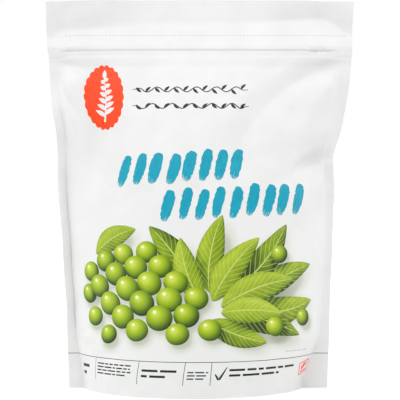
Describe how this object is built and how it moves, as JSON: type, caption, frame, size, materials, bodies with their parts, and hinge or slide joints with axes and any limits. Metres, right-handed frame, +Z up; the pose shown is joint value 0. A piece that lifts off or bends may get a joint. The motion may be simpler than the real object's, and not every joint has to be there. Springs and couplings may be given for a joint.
{
  "type": "stand-up pouch",
  "caption": "Filled stand-up food pouch with a press-to-close zipper, flat side seals, tear notches and an opened bottom gusset.",
  "frame": {"origin": "on the surface the pouch stands on, under the centre of the pouch", "axes": "+Z up from the foot to the top edge, -Y out of the front panel, +X to the right of someone facing the front"},
  "size_m": [0.21, 0.0934, 0.265],
  "materials": {
    "printed_film": "matt white laminate film with a soft sheen and flat print",
    "gusset_film": "matt white laminate film, unprinted",
    "zipper_plastic": "milky extruded polyethylene",
    "bean_skin": "smooth waxy green skin"
  },
  "bodies": {
    "root": {"front_panel": "printed_film", "back_panel": "printed_film", "bottom_gusset": "gusset_film", "zipper_rib": "zipper_plastic", "zipper_groove": "zipper_plastic", "edamame_beans": "bean_skin"}
  },
  "joints": []
}
